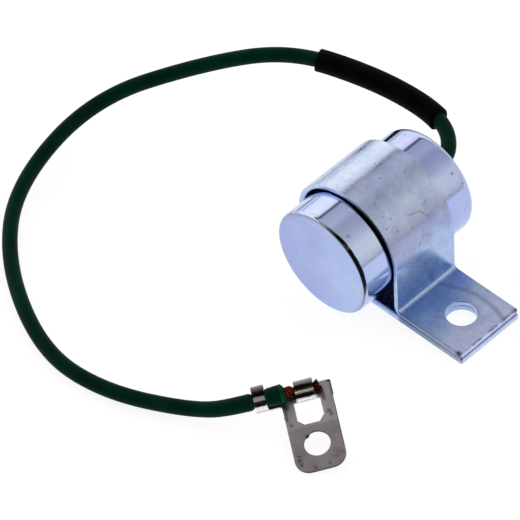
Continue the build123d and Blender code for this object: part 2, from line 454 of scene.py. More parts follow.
print("stage: can")
can = {
    "axis": (-17.1, 9.95),         # x and z of its axis, mm
    "closedEnd": -12.0,
    "openEnd": 12.2,
    "radius": 9.0,
    "wall": 0.5,
    "edgeRadius": 0.6,
    "shoulderRadius": 1.7,
    "mouth": 5.6,
    "wallStep": 1.9,               # mm between rings of the wall
    "lipRadius": 0.35,
    "around": 240,
    "clouds": (190.0, 4.0, 0.6),   # noises: how many a metre, detail, roughness
    "grain": (1500.0, 4.0, 0.65),
    "tints": (240.0, 3.0, 0.6),
    "pale": (0.435, 0.53, 0.84),
    "deep": (0.40, 0.50, 0.81),
    "straw": (0.58, 0.60, 0.65),   # the plating's faint yellow tint
    "grainDark": (0.28, 0.33, 0.46),
    "discLeft": (0.82, 0.80, 0.88),   # how the end disc darkens to the left
    "discRight": (0.97, 0.98, 1.0),
    "discHaze": (0.10, 0.20),      # how much rougher the disc is than the wall
    "farTone": (0.92, 0.90, 0.95),
    "farFrom": 6.2,                # mm, the far edge of the strap
    "seam": (0.006, 0.007, 0.010),
    "seamThin": (0.17, 0.16, 0.175),
    "seamMiddle": 0.68,            # radians about the axis, where the seam is widest
    "seamWide": 0.56,              # mm
    "seamNarrow": 0.12,
    "besideMiddle": 0.72,          # radians about the axis, where the painted shade beside the strap is widest
    "besideFrom": -6.25,           # mm, the near edge of the strap
    "besideWide": 0.50,
    # the colour of the painted shade beside the strap
    "besideShade": (0.006, 0.009, 0.022),
    "rough": (0.06, 0.13),
    "rust": (0.20, 0.215, 0.10),
    "rustSpots": [((-12.83, -11.95, 17.87), 0.35), ((-12.25, -11.95, 17.5), 0.4),
                  ((-11.75, -11.9, 17.1), 0.45)],
    "mark": (0.07, 0.075, 0.13),
    "darkSpots": [((-12.78, -10.52, 17.84), 0.40), ((-10.91, 9.97, 16.48), 0.28),
                  ((-9.4, 7.78, 14.62), 0.26), ((-9.53, 10.81, 14.82), 0.22),
                  ((-20.42, 9.74, 18.31), 0.26), ((-22.7, -12.0, 15.4), 0.22)],
    "scratches": [((-19.85, -11.21, 18.52), (-18.27, -11.07, 18.87), 0.10),
                  ((-18.4, -10.9, 18.85), (-17.5, -11.6, 18.94), 0.08)],
    "rolledDark": (0.20, 0.19, 0.20),
    "rimTarnish": (0.30, 0.33, 0.36),
    "speck": (0.08, 0.09, 0.13),
}


def canMaterial(c):
    material, tree, shader = newMaterial("canZinc")
    where = place(tree)
    x, y, z = parts(tree, where)[:3]
    dx, angle, radius = aboutAxis(tree, x, z, c["axis"])
    cloud = noise(tree, where, *c["clouds"])
    fine = noise(tree, where, *c["grain"])
    tint = noise(tree, stretched(tree, where, move=(0.31, 0.2, 0.1)), *c["tints"])
    tone = mixColor(tree, mapRange(tree, cloud, 0.36, 0.64), c["deep"], c["pale"])
    tone = paint(tree, tone, mapRange(tree, tint, 0.52, 0.72, 0.0, 0.35), c["straw"])
    tone = paint(tree, tone, mapRange(tree, fine, 0.62, 0.75, 0.0, 0.35), c["grainDark"])
    # The disc is greyer on its left, in soft clouds
    closed = c["closedEnd"]
    onDisc = mapRange(tree, y, (closed + 0.02) * mm, (closed + 0.07) * mm, 1.0, 0.0)
    across = plus(tree, dx, waver(tree, noise(tree, where, 150.0, 3.0), 5.0 * mm))
    discTone = mixColor(tree, mapRange(tree, across, -7.0 * mm, 5.0 * mm), c["discLeft"], c["discRight"])
    tone = paint(tree, tone, onDisc, tinted(tree, tone, discTone))
    # The worn seam where the disc meets the wall: thin and grey on the left, wide and black on the right
    facing = maths(tree, "COSINE", minus(tree, angle, c["seamMiddle"]))
    wide = mapRange(tree, facing, 0.72, 0.94, c["seamNarrow"], c["seamWide"])
    past = minus(tree, maths(tree, "DIVIDE", minus(tree, y, closed * mm), mm), wide)
    past = plus(tree, past, waver(tree, noise(tree, where, 900.0, 3.0), 0.06))
    seam = times(tree, mapRange(tree, past, 0.0, 0.10, 1.0, 0.0), minus(tree, 1.0, onDisc))
    seam = times(tree, seam, mapRange(tree, facing, 0.3, 0.8, 0.45, 1.0))
    seamTone = mixColor(tree, mapRange(tree, facing, 0.72, 0.88), c["seamThin"], c["seam"])
    tone = paint(tree, tone, seam, seamTone)
    tone = paint(tree, tone, spotMarks(tree, where, c["rustSpots"], 0.6), c["rust"], 0.6)
    # The shadowed line where the far end begins to roll over, and the part past the strap's far edge,
    # tinted a little darker
    rolled = mapRange(tree, y, (c["openEnd"] - 0.72) * mm, (c["openEnd"] - 0.52) * mm)
    tone = paint(tree, tone, rolled, c["rolledDark"], 0.6)
    farPart = mapRange(tree, y, c["farFrom"] * mm, (c["farFrom"] + 0.2) * mm)
    tone = paint(tree, tone, farPart, tinted(tree, tone, c["farTone"]))
    # Painted shade on the wall beside the strap, where the strap's near edge shades it
    fade = maths(tree, "COSINE", minus(tree, angle, c["besideMiddle"]))
    edge = c["besideFrom"]
    start = mapRange(tree, fade, 0.45, 0.90, edge * mm, (edge - c["besideWide"]) * mm)
    besideShade = mapRange(tree, minus(tree, y, start), -0.05 * mm, 0.25 * mm)
    besideShade = times(tree, besideShade, mapRange(tree, fade, 0.35, 0.6), mapRange(tree, y, -5.4 * mm, -5.9 * mm))
    tone = paint(tree, tone, besideShade, c["besideShade"])
    marks = anyOf(tree, spotMarks(tree, where, c["darkSpots"]),
                  scratchMarks(tree, shaken(tree, where, 0.22), c["scratches"]))
    tone = paint(tree, tone, marks, c["mark"], 0.62)
    # Dust and handling marks, and the tarnish at the disc's rim
    rimBand = times(tree, mapRange(tree, radius, 8.0 * mm, 8.55 * mm), onDisc,
                    mapRange(tree, cloud, 0.4, 0.7))
    tone = paint(tree, tone, rimBand, c["rimTarnish"], 0.5)
    specks = pits(tree, where, 620.0, 0.11, 0.16)
    tone = paint(tree, tone, specks, c["speck"], 0.75)
    hazy = times(tree, onDisc, mapRange(tree, fine, 0.35, 0.65, *c["discHaze"]))
    rough = maths(tree, "ADD", spread(tree, cloud, *c["rough"]),
                  plus(tree, hazy, times(tree, seam, 0.35)), clamp=True)
    swell = noise(tree, where, 130.0, 2.0, 0.5)
    lines = noise(tree, stretched(tree, where, (200.0, 3200.0, 200.0)), 1.0, 2.0, 0.5)
    normal = relief(tree, (swell, 0.5, 0.00006), (lines, 0.04, 0.00001), (specks, 0.5, -0.00003))
    metal = minus(tree, 1.0, times(tree, seam, 0.1))
    wire(tree, shader, color=tone, metal=metal, rough=rough, normal=normal)
    return material


# A closed shell turned about the can's axis, with one point at each pole
def turnedShell(c, profile, around):
    cx, cz = c["axis"]
    verts = [Vector((cx, profile[0][0], cz)) * mm]
    for y, r in profile[1:-1]:
        for k in range(around):
            angle = 2 * math.pi * k / around
            verts.append(Vector((cx + r * math.cos(angle), y, cz + r * math.sin(angle))) * mm)
    verts.append(Vector((cx, profile[-1][0], cz)) * mm)
    rings = len(profile) - 2
    faces = [tuple(i + 1 for i in face) for face in ringFaces(rings, around)]
    last = len(verts) - 1
    for k in range(around):
        m = (k + 1) % around
        faces.append((0, 1 + m, 1 + k))
        faces.append((last, 1 + (rings - 1) * around + k, 1 + (rings - 1) * around + m))
    return verts, faces


# From the middle of the end disc, over the wall and the rolled mouth, and back along the inside
def makeCan(c):
    y0, y1, r, t = c["closedEnd"], c["openEnd"], c["radius"], c["wall"]
    e, s, m, q = c["edgeRadius"], c["shoulderRadius"], c["mouth"], c["lipRadius"]
    profile = [(y0, 0.0), (y0, 2.0), (y0, 4.0), (y0, 6.0), (y0, 7.6), (y0, r - e - 0.08)]
    profile += arcPoints((y0 + e, r - e), e, 180, 90, 10)
    profile += [(y0 + e + 0.06, r)]
    wallRings = [y0 + 1.2 + c["wallStep"] * i for i in range(12)]
    profile += [(y, r) for y in wallRings if y < y1 - s - 0.1]
    profile += [(y1 - s - 0.06, r)]
    profile += arcPoints((y1 - s, r - s), s, 90, 0, 14)
    profile += [(y1, r - s - 0.06), (y1, m + q + 0.05)]
    profile += arcPoints((y1 - q, m + q), q, 0, -90, 6)
    profile += [(y1 - t, m), (y1 - t, r - s - 0.05)]
    profile += arcPoints((y1 - s, r - s), s - t, 0, 90, 8)
    profile += [(y0 + t + 0.4, r - t), (y0 + t, r - t - 0.4), (y0 + t, 0.0)]
    shell = turnedShell(c, profile, c["around"])
    return meshPiece("canShell", [shell], canMaterial(c), ["condenser_can"])


canShell = makeCan(can)

print("stage: strap")
strap = {
    "thick": 0.9,
    "width": 12.5,
    "bendRadius": 9.05,      # inside, about the can
    "bendStep": 2.5,         # degrees between rows, over 270 degrees
    "gap": 0.06,             # between the two leaves of the tab
    "footRadius": 0.8,
    "holeRadius": 2.4,
    "holeRolled": 0.14,      # the rolled upper edge of the hole
    "holeBroken": 0.05,      # its other edges
    "upperEnd": 5.6,
    "lowerEnd": 5.8,
    "cornerRadius": 0.35,
    "outerEdge": 0.13,
    "innerNearEdge": 0.40,
    "innerFarEdge": 0.12,
    "edgeSteps": 4,
    "edgeRim": 0.07,         # mm of flat kept beside each rounded edge
    "endSteps": [0.0, 0.03, 0.07, 0.13, 0.22, 0.35, 0.5],   # mm from each free end
    "patchHalf": 3.5,        # mm, the square about the hole that is meshed in rings
    "cells": 16,             # along each side of that square
    "loose": (0.37, 123.0, 34.0),   # mm that it stands off the can on the left, where, and how far round
    "wave": (0.018, 0.35, 6),       # its sheared edges waver: mm, in how wide a band, rows to a wave
    "clouds": (210.0, 4.0, 0.62),
    "grain": (1700.0, 4.0, 0.7),
    "mottle": (620.0, 4.0, 0.7),
    "pale": (0.47, 0.56, 0.80),
    "deep": (0.40, 0.495, 0.75),
    "mottleDark": (0.30, 0.345, 0.47),
    "mottlePale": (0.60, 0.67, 0.86),
    "grainDark": (0.30, 0.34, 0.46),
    "dirt": (0.10, 0.12, 0.17),
    "polish": (0.62, 0.68, 0.86),
    "nearEdge": (0.10, 0.11, 0.16),
    "rough": (0.16, 0.28),
    # Painted light and shade, by degrees about the can's axis and then by mm along the tab
    "shadingAroundCan": [(-60, (1.0, 1.0, 1.0)), (-35, (0.88, 0.97, 1.0)), (-10, (0.90, 0.98, 1.0)),
                   (5, (0.92, 0.95, 1.0)), (18, (0.74, 0.72, 0.80)), (34, (0.74, 0.70, 0.78)),
                   (47, (0.80, 0.79, 0.89)), (60, (1.0, 1.0, 1.0)), (95, (1.03, 1.01, 1.02)),
                   (106, (1.0, 0.99, 1.0)), (130, (1.08, 1.10, 1.05))],
    "shadingAlongTab": [(-7.0, (0.42, 0.55, 0.76)), (-2.0, (0.80, 0.88, 0.93)), (1.5, (0.94, 0.97, 1.0)),
                (4.0, (1.14, 1.08, 1.10))],
    "grooveShade": (0.009, 0.012, 0.024),      # painted shade in the groove beside the can
    "mark": (0.09, 0.10, 0.17),
    "pitSpots": [((-13.53, -4.0, 19.24), 0.20), ((-16.04, -2.76, 19.84), 0.16),
                 ((-14.45, 3.58, 19.54), 0.18), ((-11.97, 6.18, 18.47), 0.24),
                 ((-11.57, -2.74, 18.22), 0.16), ((-11.5, -4.41, 18.17), 0.20),
                 ((-19.57, -3.84, 19.59), 0.18), ((-21.04, 0.9, 19.09), 0.20),
                 ((-10.09, -5.05, 17.01), 0.24)],
    "scratches": [((-9.87, -0.84, 16.78), (-9.49, 1.36, 16.36), 0.224),
                  ((-9.49, 1.36, 16.36), (-8.66, 2.2, 15.22), 0.224),
                  ((-9.72, 2.04, 16.63), (-9.96, 3.31, 16.88), 0.196),
                  ((-8.03, 0.64, 14.04), (-7.7, 0.16, 13.21), 0.196),
                  ((-7.7, 0.16, 13.21), (-7.37, -1.12, 12.03), 0.196),
                  ((-7.7, 0.16, 13.21), (-7.48, 1.35, 12.49), 0.168)],
    # The faint worn arc on the tab, and the wear at its corners
    "arc": [(-6.52, 2.08), (-4.92, 2.9), (-2.94, 3.67), (-1.05, 4.18), (0.9, 4.25), (2.91, 4.06),
            (4.95, 3.47), (5.6, 3.1)],
    "arcWidth": 0.62,
    "arcDark": (0.14, 0.18, 0.30),
    "cornerSpots": [((5.15, -6.15, 1.8), 0.80), ((5.7, -6.2, 1.2), 0.50), ((5.45, 5.95, 1.8), 0.60)],
    "wornBare": (0.03, 0.032, 0.04),
}


def strapMaterial(c):
    material, tree, shader = newMaterial("strapZinc")
    where = place(tree)
    x, y, z = parts(tree, where)[:3]
    cloud = noise(tree, where, *c["clouds"])
    fine = noise(tree, where, *c["grain"])
    mottle = noise(tree, where, *c["mottle"])
    tone = mixColor(tree, mapRange(tree, cloud, 0.36, 0.64), c["deep"], c["pale"])
    tone = paint(tree, tone, mapRange(tree, mottle, 0.50, 0.66, 0.0, 0.40), c["mottleDark"])
    tone = paint(tree, tone, mapRange(tree, mottle, 0.32, 0.44, 0.35, 0.0), c["mottlePale"])
    tone = paint(tree, tone, mapRange(tree, fine, 0.62, 0.72, 0.0, 0.35), c["grainDark"])
    dots = pits(tree, where, 760.0, 0.13, 0.22)
    small = pits(tree, stretched(tree, where, move=(0.4, 0.1, 0.2)), 1600.0, 0.16, 0.14)
    dirt = anyOf(tree, dots, times(tree, small, 0.7))
    tone = paint(tree, tone, dirt, c["dirt"], 0.8)
    lines = hairlines(tree, where, (260.0, 2600.0, 260.0), (0.35, 0.0, 0.2), 0.60, 260.0)
    tone = paint(tree, tone, lines, c["polish"], 0.3)
    # Painted light and shade: tints by the angle about the can's axis, and along the tab
    _, angle, radius = aboutAxis(tree, x, z, can["axis"])
    around = tintRamp(tree, plus(tree, angle, waver(tree, cloud, 0.12)), c["shadingAroundCan"], degree)
    onTab = times(tree, mapRange(tree, x, -7.3 * mm, -6.6 * mm), mapRange(tree, z, 3.2 * mm, 1.9 * mm))
    alongTab = tintRamp(tree, plus(tree, x, waver(tree, cloud, 1.2 * mm)), c["shadingAlongTab"], mm)
    tone = tinted(tree, tone, mixColor(tree, onTab, around, alongTab))
    nearFace = times(tree, mapRange(tree, y, -6.0 * mm, -6.12 * mm), onTab)
    tone = paint(tree, tone, nearFace, c["nearEdge"], 0.45)
    # Painted shade in the groove between the strip's near edge and the can, given by the radius that it
    # reaches
    groove = mapRange(tree, angle, 45.0 * degree, 112.0 * degree, 9.74, 9.30)
    groove = maths(tree, "MINIMUM", groove, mapRange(tree, angle, 0.1, 32.0 * degree, 9.24, 9.72))
    depth = minus(tree, groove, maths(tree, "DIVIDE", radius, mm))
    dark = times(tree, mapRange(tree, depth, -0.03, 0.07), mapRange(tree, y, -5.7 * mm, -5.95 * mm),
                 mapRange(tree, angle, -32.0 * degree, -8.0 * degree),
                 mapRange(tree, angle, 128.0 * degree, 112.0 * degree))
    tone = paint(tree, tone, dark, c["grooveShade"])
    cuts = scratchMarks(tree, shaken(tree, where, 0.25), c["scratches"])
    cuts = times(tree, cuts, mapRange(tree, noise(tree, where, 1500.0, 2.0), 0.35, 0.6, 0.3, 0.8))
    marks = anyOf(tree, spotMarks(tree, where, c["pitSpots"]), cuts)
    tone = paint(tree, tone, marks, c["mark"], 0.6)
    # The arc, the bare corners and the worn upper edge of the tab's end
    high = 2 * c["thick"] + c["gap"]
    arc = [((*a, high), (*b, high), c["arcWidth"]) for a, b in zip(c["arc"], c["arc"][1:])]
    tone = paint(tree, tone, scratchMarks(tree, where, arc), c["arcDark"], 0.46)
    rimWear = times(tree, mapRange(tree, x, 5.1 * mm, 5.45 * mm), mapRange(tree, z, 1.72 * mm, 1.8 * mm),
                    mapRange(tree, noise(tree, where, 700.0, 3.0), 0.44, 0.56), 0.7)
    bare = anyOf(tree, spotMarks(tree, where, c["cornerSpots"]), rimWear)
    tone = paint(tree, tone, bare, c["wornBare"], 0.85)
    rough = plus(tree, spread(tree, cloud, *c["rough"]), mapRange(tree, fine, 0.45, 0.7, 0.0, 0.10))
    rough = plus(tree, rough, times(tree, dark, 0.3))
    swell = noise(tree, where, 150.0, 2.0, 0.5)
    normal = relief(tree, (swell, 0.5, 0.00007), (fine, 0.10, 0.000012), (dirt, 0.6, -0.00004))
    metal = minus(tree, 1.0, times(tree, dark, 0.6))
    wire(tree, shader, color=tone, metal=metal, rough=rough, normal=normal)
    return material


# How far a rounded corner has drawn in at a distance from the end
def drawnIn(radius, distance):
    return radius - math.sqrt(max(radius ** 2 - max(radius - distance, 0) ** 2, 0))


# Evenly spaced steps over the square about the hole
def patchSteps(c):
    return [-c["patchHalf"] + 2 * c["patchHalf"] * i / c["cells"] for i in range(c["cells"] + 1)]


# One loop round the strip's section: outer side, far edge, inner side, near edge
def stripSection(c, halfWidth, halfThick, inset):
    def flatSteps(a, b):
        return [a, a + c["edgeRim"]] + patchSteps(c) + [b - c["edgeRim"], b]

    w, t, steps = halfWidth, halfThick, c["edgeSteps"]
    ro, rn, rf = (max(r - inset, 0.02) for r in (c["outerEdge"], c["innerNearEdge"], c["innerFarEdge"]))
    loop = [(v, t) for v in flatSteps(-w + ro, w - ro)]
    loop += arcPoints((w - ro, t - ro), ro, 90, 0, steps, skipFirst=True)
    loop += [(w, 0.0)]
    loop += arcPoints((w - rf, -t + rf), rf, 0, -90, steps, skipLast=True)
    loop += [(v, -t) for v in reversed(flatSteps(-w + rn, w - rf))]
    loop += arcPoints((-w + rn, -t + rn), rn, -90, -180, steps, skipFirst=True)
    loop += [(-w, 0.0)]
    loop += arcPoints((-w + ro, t - ro), ro, 180, 90, steps, skipLast=True)
    return loop


# Where the strip runs: centre (x, z), the way its outer side faces, and how far the free end is
def stripStations(c):
    cx, cz = can["axis"]
    t, foot, farOff = c["thick"], c["footRadius"], 9.0
    rc = c["bendRadius"] + t / 2
    top = 2 * t + c["gap"] - t / 2
    down, right, up = (0.0, -1.0), (1.0, 0.0), (0.0, 1.0)
    stations = [((c["lowerEnd"] - d, t / 2), down, d) for d in c["endSteps"]]
    stations += [((-v, t / 2), down, farOff) for v in patchSteps(c)]
    stations += [((v, t / 2), down, farOff) for v in (-4.5, -6.5, -9.0, -12.0, -15.0, -16.9)]
    stand, middle, spread = c["loose"]
    for i in range(int(270 / c["bendStep"]) + 1):
        turn = c["bendStep"] * i
        face = (math.cos((-90.0 - turn) * degree), math.sin((-90.0 - turn) * degree))
        off = rc + stand * math.exp(-((turn - middle) / spread) ** 2)
        stations.append(((cx + off * face[0], cz + off * face[1]), face, farOff))
    wall = cx + rc
    footZ = top + t / 2 + foot
    stations += [((wall, cz - drop), right, farOff) for drop in (0.2, 2.5, 5.0)]
    stations += [((wall, footZ + rise), right, farOff) for rise in (0.3, 0.08)]
    footX = wall + t / 2 + foot
    for x, z in arcPoints((footX, footZ), foot + t / 2, 180, 270, 10):
        face = ((footX - x) / (foot + t / 2), (footZ - z) / (foot + t / 2))
        stations.append(((x, z), face, farOff))
    stations += [((v, top), up, farOff) for v in (footX + 0.08, -5.4, -4.4)]
    stations += [((v, top), up, farOff) for v in patchSteps(c)]
    stations += [((c["upperEnd"] - d, top), up, d) for d in reversed(c["endSteps"])]
    return stations


def makeStrap(c):
    stations = stripStations(c)
    cells, ends = c["cells"], len(c["endSteps"])
    waveHeight, waveBand, waveRows = c["wave"]
    dice = random.Random(5)
    waves = [dice.uniform(-1.0, 1.0) for _ in range(40)]
    verts, size = [], 0
    for i, ((x, z), (fx, fz), d) in enumerate(stations):
        thin = drawnIn(c["outerEdge"], d)
        halfWidth = c["width"] / 2 - drawnIn(c["cornerRadius"], d)
        loop = stripSection(c, halfWidth, c["thick"] / 2 - thin, thin)
        size = len(loop)
        u = i / waveRows
        wobble = waves[int(u)] * (1 - u % 1) + waves[int(u) + 1] * (u % 1)
        for v, n in loop:
            edge = max(abs(v) - c["width"] / 2 + waveBand, 0.0) / waveBand
            y = v + math.copysign(waveHeight * wobble * edge, v)
            verts.append(Vector((x + fx * n, y, z + fz * n)) * mm)
    # Leave a square out of the two sides of each leaf, for the rings about the hole
    first, last = 2, 2 + cells             # its columns on the outer side
    flat = cells + 5                       # points on each flat of the section
    mirror = 2 * (flat + c["edgeSteps"])   # an outer column and the inner one behind it add up to this
    lowRow, highRow = ends, len(stations) - ends - cells - 1
    faces = []
    for face in ringFaces(len(stations), size):
        row, column = face[0] // size, face[0] % size
        inRow = lowRow <= row < lowRow + cells or highRow <= row < highRow + cells
        if not (inRow and (first <= column < last or mirror - last <= column < mirror - first)):
            faces.append(face)
    faces += [tuple(range(size)), tuple(range((len(stations) - 1) * size, len(stations) * size))]

    def square(row, inner):
        loop = [(row, first + k) for k in range(cells)] + [(row + k, last) for k in range(cells)]
        loop += [(row + cells, last - k) for k in range(cells)]
        loop += [(row + cells - k, first) for k in range(cells)]
        return [r * size + (mirror - column if inner else column) for r, column in loop]

    for row in (lowRow, highRow):
        outerLoop, innerLoop = square(row, False), square(row, True)
        zOut, zIn = verts[outerLoop[0]].z / mm, verts[innerLoop[0]].z / mm
        down = 1.0 if zIn > zOut else -1.0
        e = c["holeRolled"] if row == highRow else c["holeBroken"]
        r = c["holeRadius"]
        rings = [(r + e + 0.5, zOut), (r + e + 0.05, zOut)]
        rings += [(r + e - e * math.sin(a * degree), zOut + down * (e - e * math.cos(a * degree)))
                  for a in range(0, 108, 18)]
        rings += [(r, zIn - down * 0.08), (r, zIn - down * 0.04)]
        rings += [(r + past, zIn) for past in (0.04, 0.1, 0.6)]
        spins = [math.atan2(verts[k].y, verts[k].x) for k in outerLoop]
        loops = [outerLoop]
        for radius, z in rings:
            loops.append(list(range(len(verts), len(verts) + len(spins))))
            for spin in spins:
                verts.append(Vector((radius * math.cos(spin), radius * math.sin(spin), z)) * mm)
        loops.append(innerLoop)
        for a, b in zip(loops, loops[1:]):
            for k in range(len(spins)):
                m = (k + 1) % len(spins)
                faces.append((a[k], a[m], b[m], b[k]))
    return meshPiece("strapStrip", [(verts, faces)], strapMaterial(c), ["mounting_strap"])


strapStrip = makeStrap(strap)

print("stage: place of the terminal")
terminal = {
    "at": (1.62, -32.66, 1.5),
    "turn": 55.7,             # degrees about Z, then the roll about the crimps, then the tip
    "roll": 15.0,
    "tip": 10.0,
    "thick": 0.5,
    "halfWidth": 3.85,
    "low": -4.27,
    "high": 9.58,
    "cornerRadius": 2.2,
    "edge": 0.05,             # mm broken off its edges
    "holeRadius": 1.975,
    "holeAround": 56,
    "nib": (128.0, 15.0, 0.24),   # the burr in the hole: degrees round it, half its width, mm deep
    "window": [(-2.05, 7.05), (1.93, 7.05), (1.95, 4.32), (1.10, 3.37), (-1.16, 3.37), (-2.07, 4.22)],
    "crimpHeight": 8.5,
    "curlSteps": 24,
    "gripCentre": 1.84,
    "barrelCentre": 0.82,
    # The two curls of each crimp as (mm from its middle, mm off the flag, radius), and where they meet
    "gripLower": (-0.44, 1.35, 1.16),
    "gripUpper": (0.95, 1.85, 1.15),
    "gripMeet": 2.58,
    "barrelLower": (-0.64, 0.92, 0.85),
    "barrelUpper": (0.92, 0.92, 0.85),
    "barrelMeet": 1.30,
    # Where each crimp runs, and how far it is drawn in there, mm
    "gripStops": [(-7.66, 0.10), (-7.63, 0.03), (-7.58, 0.0), (-5.82, 0.0), (-5.77, 0.03), (-5.74, 0.10)],
    "barrelStops": [(-1.46, 0.10), (-1.43, 0.03), (-1.38, 0.0), (0.0, 0.02), (1.32, 0.0), (1.38, 0.03),
                    (1.41, 0.10)],
    "clouds": (260.0, 4.0, 0.6),
    "grain": (2400.0, 3.0, 0.7),
    "drawLines": (2300.0, 190.0, 400.0),
    "pale": (0.43, 0.405, 0.418),
    "deep": (0.315, 0.295, 0.305),
    "shine": (0.50, 0.48, 0.50),
    # dark stains, and the painted shade low on the flag
    "stainAndShade": (0.030, 0.025, 0.025),
    # bright cut metal, partly a painted highlight where the edges are lit
    "cutEdge": (0.80, 0.79, 0.84),
    "black": (0.008, 0.007, 0.007),
    "rough": (0.34, 0.48),
    "crimpPolish": 0.17,      # how much smoother the crimps are
    # Painted light and shade on the crimps, with some tarnish, by mm up their fronts from where they
    # begin
    "front": (0.899, 0.438),  # the way up their fronts: along the flag, and off it
    "gripFoot": 6.707,
    "barrelFoot": 6.60,
    "gripShadingAndTarnish": [(0.0, (0.85, 0.84, 0.88)), (0.60, (0.80, 0.79, 0.83)), (0.75, (0.17, 0.16, 0.175)),
                 (1.45, (0.17, 0.16, 0.175)), (1.62, (0.52, 0.50, 0.52)), (2.16, (0.46, 0.44, 0.46)),
                 (2.24, (0.055, 0.047, 0.041)), (3.02, (0.075, 0.062, 0.054)), (3.20, (0.13, 0.12, 0.12)),
                 (4.0, (0.19, 0.18, 0.185))],
    "barrelShadingAndTarnish": [(0.0, (0.95, 0.94, 1.0)), (0.44, (0.90, 0.89, 0.95)), (0.52, (0.07, 0.07, 0.075)),
                   (1.18, (0.06, 0.06, 0.06)), (1.27, (0.42, 0.40, 0.35)), (1.58, (0.34, 0.325, 0.28)),
                   (1.70, (0.20, 0.195, 0.14)), (1.92, (0.10, 0.098, 0.075)), (2.34, (0.09, 0.087, 0.08)),
                   (2.46, (0.22, 0.21, 0.217)), (3.3, (0.31, 0.30, 0.305))],
    # Dark stains where it was handled, in mm along and up the flag
    "stains": [((-3.06, 3.73, 0.5), 0.42), ((2.67, 4.62, 0.5), 0.48), ((2.95, 4.0, 0.5), 0.36),
               ((-3.12, -2.1, 0.5), 0.42), ((-2.9, -2.9, 0.5), 0.42), ((1.18, -3.6, 0.5), 0.36),
               ((-1.0, -3.8, 0.5), 0.36), ((2.1, 7.9, 0.5), 0.45), ((-3.2, 6.6, 0.5), 0.45)],
    "blackSpots": [((3.8, 9.4, 0.5), 0.55), ((-1.1, 1.42, 0.45), 0.46), ((-4.0, 5.2, 0.4), 0.22)],
    # the first of the dark lines, beside the window's upper right corner, is painted shade
    "lines": [((2.45, 8.0, 0.5), (2.5, 6.6, 0.5), 0.34), ((-3.3, -1.38, 0.5), (-2.8, -1.5, 0.5), 0.16),
              ((-3.5, 4.6, 0.5), (-3.4, 7.0, 0.5), 0.22), ((3.98, 9.3, 0.5), (4.0, 7.1, 0.5), 0.50),
              ((3.86, 6.7, 0.5), (3.84, -1.5, 0.5), 0.16)],
    "brightLines": [((2.25, 3.7, 0.5), (2.35, 6.6, 0.5), 0.55),
                    ((-3.78, 4.6, 0.5), (-3.78, -2.0, 0.5), 0.14)],
    "blushSpot": [((2.77, -2.3, 0.5), 1.2)],
    "blush": (0.13, 0.085, 0.09),
}
flagTurn = (Matrix.Translation(Vector(terminal["at"]) * mm)
            @ Matrix.Rotation(terminal["turn"] * degree, 4, "Z")
            @ Matrix.Rotation(terminal["roll"] * degree, 4, "X")
            @ Matrix.Rotation(-terminal["tip"] * degree, 4, "Y"))


# A point given in mm along the crimps, up the flag and above its underside
def onFlag(p, h, n):
    return flagTurn @ (Vector((p, h, n)) * mm)


# The same three directions as a vector for a material
def flagPlace(tree):
    away = vectorMath(tree, "SUBTRACT", place(tree), tuple(flagTurn.translation))
    axes = [flagTurn.to_3x3().col[i] for i in range(3)]
    found = [vectorMath(tree, "DOT_PRODUCT", away, tuple(axis), out=1) for axis in axes]
    return addNode(tree, "ShaderNodeCombineXYZ", {0: found[0], 1: found[1], 2: found[2]}).outputs[0]


print("stage: lead insulation")
insulationLook = {
    "clouds": (160.0, 3.0, 0.6),
    "grain": (1400.0, 3.0, 0.6),
    "deep": (0.0004, 0.0180, 0.0112),
    "pale": (0.0006, 0.0310, 0.0195),
    "sheen": (0.0010, 0.048, 0.031),
    "squeezed": (0.0006, 0.024, 0.0142),
    "lip": (0.003, 0.095, 0.062),
    "rough": (0.35, 0.46),
    "specular": 0.025,
    "step": 0.7,              # mm between rings
    "clamped": (-7.65, -5.75),  # where the grip holds it, along the crimps
    "pinched": 0.36,          # how much of its radius the grip leaves it
    "swollen": 1.30,          # radius just before the grip
    "swelling": (8.0, 6.0),   # mm before the grip where it begins, and over what length
    "bulge": 1.44,            # radius between the grip and its cut end
    "endAt": -3.15,
    "endOpening": 1.1,
    # The torn lip round the strands: (how far ahead of the cut, radius), and how long its tears are
    "lipProfile": [(-0.3, 1.22), (0.0, 1.25), (0.5, 1.16), (1.0, 1.06), (1.0, 0.94), (0.5, 0.94),
                   (-0.3, 0.94)],
    "tears": (0.10, 0.34),
}


def insulationMaterial(c):
    material, tree, shader = newMaterial("leadGreen")
    where = place(tree)
    cloud = noise(tree, where, *c["clouds"])
    fine = noise(tree, where, *c["grain"])
    tone = mixColor(tree, mapRange(tree, cloud, 0.35, 0.65), c["deep"], c["pale"])
    tone = paint(tree, tone, mapRange(tree, fine, 0.60, 0.78, 0.0, 0.3), c["sheen"])
    # Stretched to another green where the grip squeezes it, and palest at the cut
    p, h = parts(tree, flagPlace(tree))[:2]
    squeezed = times(tree, mapRange(tree, p, -9.6 * mm, -5.6 * mm), mapRange(tree, h, 5.5 * mm, 6.5 * mm),
                     mapRange(tree, p, 1.0 * mm, 0.0), mapRange(tree, h, 12.0 * mm, 11.0 * mm))
    patchy = mapRange(tree, noise(tree, where, 700.0, 3.0), 0.35, 0.65, 0.35, 1.0)
    tone = paint(tree, tone, times(tree, squeezed, patchy), c["squeezed"])
    cut = times(tree, mapRange(tree, p, -3.62 * mm, -3.46 * mm),
                mapRange(tree, p, -3.18 * mm, -3.28 * mm, 0.35, 1.0))
    tone = paint(tree, tone, times(tree, squeezed, cut, patchy), c["lip"])
    wire(tree, shader, color=tone, rough=spread(tree, fine, *c["rough"]), specular=c["specular"],
         normal=relief(tree, (cloud, 0.3, 0.00008), (fine, 0.15, 0.00002)))
    return material


greenPlastic = insulationMaterial(insulationLook)


